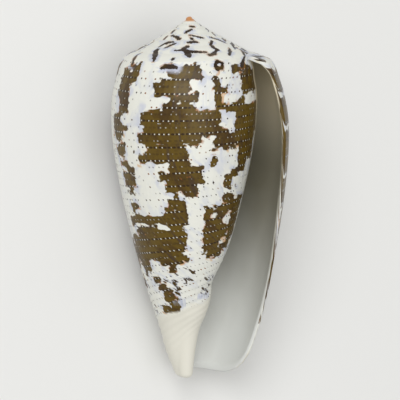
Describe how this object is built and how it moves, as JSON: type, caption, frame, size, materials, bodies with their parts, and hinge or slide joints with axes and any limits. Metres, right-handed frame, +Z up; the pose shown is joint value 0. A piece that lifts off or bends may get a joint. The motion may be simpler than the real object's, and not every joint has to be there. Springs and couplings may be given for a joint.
{
  "type": "cone shell",
  "caption": "Cone shell about 60 mm long, lying on its back with the long narrow aperture up.",
  "frame": {"origin": "on the surface the shell lies on, under the middle of its bounding box", "axes": "+Y towards the apex, +X towards the outer lip, +Z up, with the aperture turned about 20 degrees from it towards -X"},
  "size_m": [0.0284, 0.0596, 0.0261],
  "materials": {
    "patterned_shell": "satin"
  },
  "bodies": {
    "root": {"shell": "patterned_shell"}
  },
  "joints": []
}
